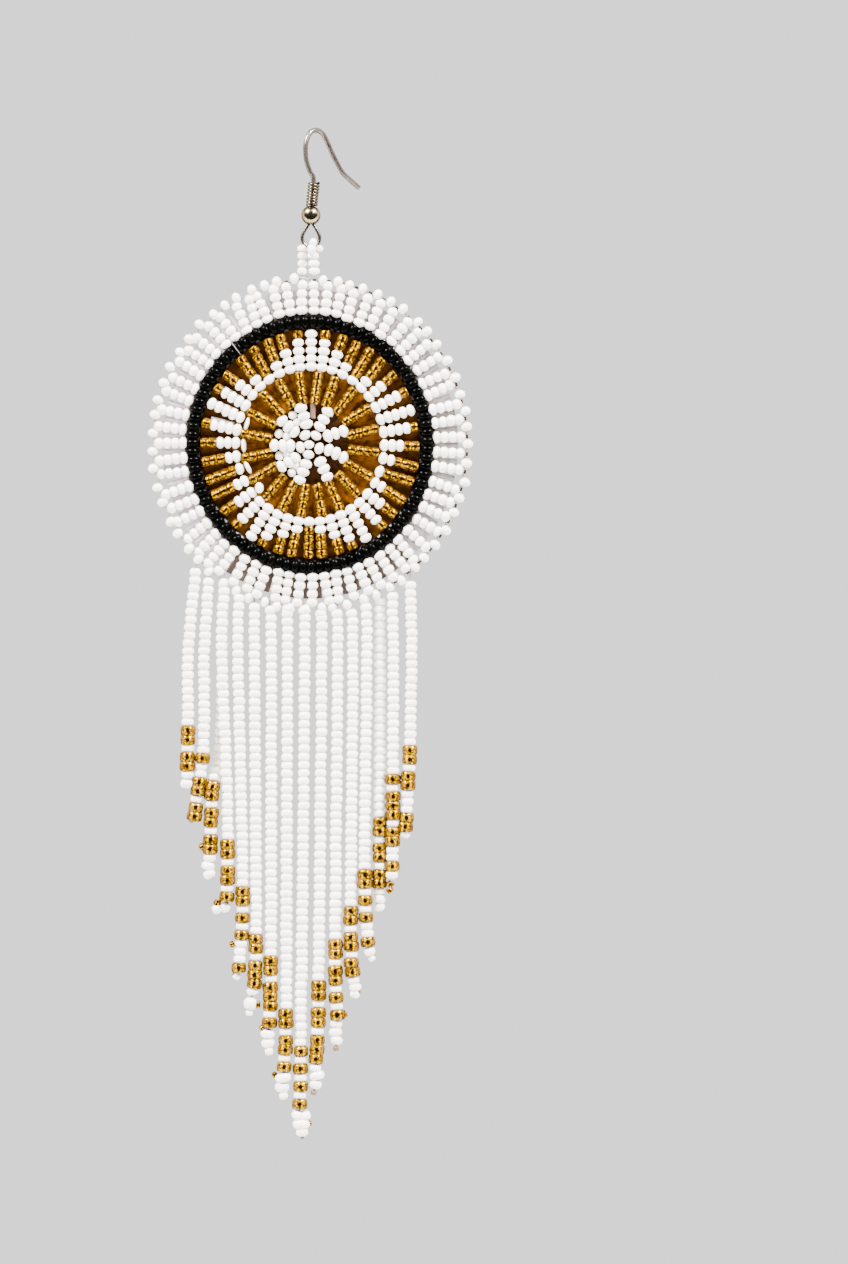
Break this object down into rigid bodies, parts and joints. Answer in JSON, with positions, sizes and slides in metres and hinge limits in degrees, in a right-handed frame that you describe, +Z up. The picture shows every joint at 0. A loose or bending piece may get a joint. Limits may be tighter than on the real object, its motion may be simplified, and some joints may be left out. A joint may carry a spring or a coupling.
{
  "type": "beaded drop earring",
  "caption": "Drop earring on a bent ear wire: a flat oval disc of seed beads with a star pattern, a dark ring and a picot edge, and a long pointed fringe of bead strands.",
  "frame": {"origin": "inside top of the hook's arch, where the wire hangs in the pierced ear", "axes": "+Z up, the face of the disc looks towards -Y, +X to the right as seen from the front"},
  "size_m": [0.0553, 0.0099, 0.1677],
  "materials": {
    "wire": "polished",
    "coil_wire": "polished",
    "ball": "polished",
    "white_beads": "glossy",
    "black_beads": "glossy",
    "star_beads": "glossy",
    "gold_beads": "glossy",
    "leather": "matte"
  },
  "bodies": {
    "hook": {"ear_wire": "wire", "wire_coil": "coil_wire", "wire_ball": "ball"},
    "drop": {"bail": "white_beads", "outer_band": "white_beads", "black_ring": "black_beads", "star_band": "star_beads", "gold_spokes": "gold_beads", "rosette": "white_beads", "backing": "leather", "fringe_strand_01": "white_beads", "fringe_strand_02": "white_beads", "fringe_strand_03": "white_beads", "fringe_strand_04": "white_beads", "fringe_strand_05": "white_beads", "fringe_strand_06": "white_beads", "fringe_strand_07": "white_beads", "fringe_strand_08": "white_beads", "fringe_strand_09": "white_beads", "fringe_strand_10": "white_beads", "fringe_strand_11": "white_beads", "fringe_strand_12": "white_beads", "fringe_strand_13": "white_beads", "fringe_strand_14": "white_beads", "fringe_strand_15": "white_beads", "fringe_strand_16": "white_beads"}
  },
  "joints": [
    {"name": "drop_swing", "type": "hinge", "parent": "hook", "child": "drop", "pos_m": [-0.00065, -0.0003, -0.0191], "axis": [1, 0, 0], "range_deg": [-45, 45]}
  ]
}
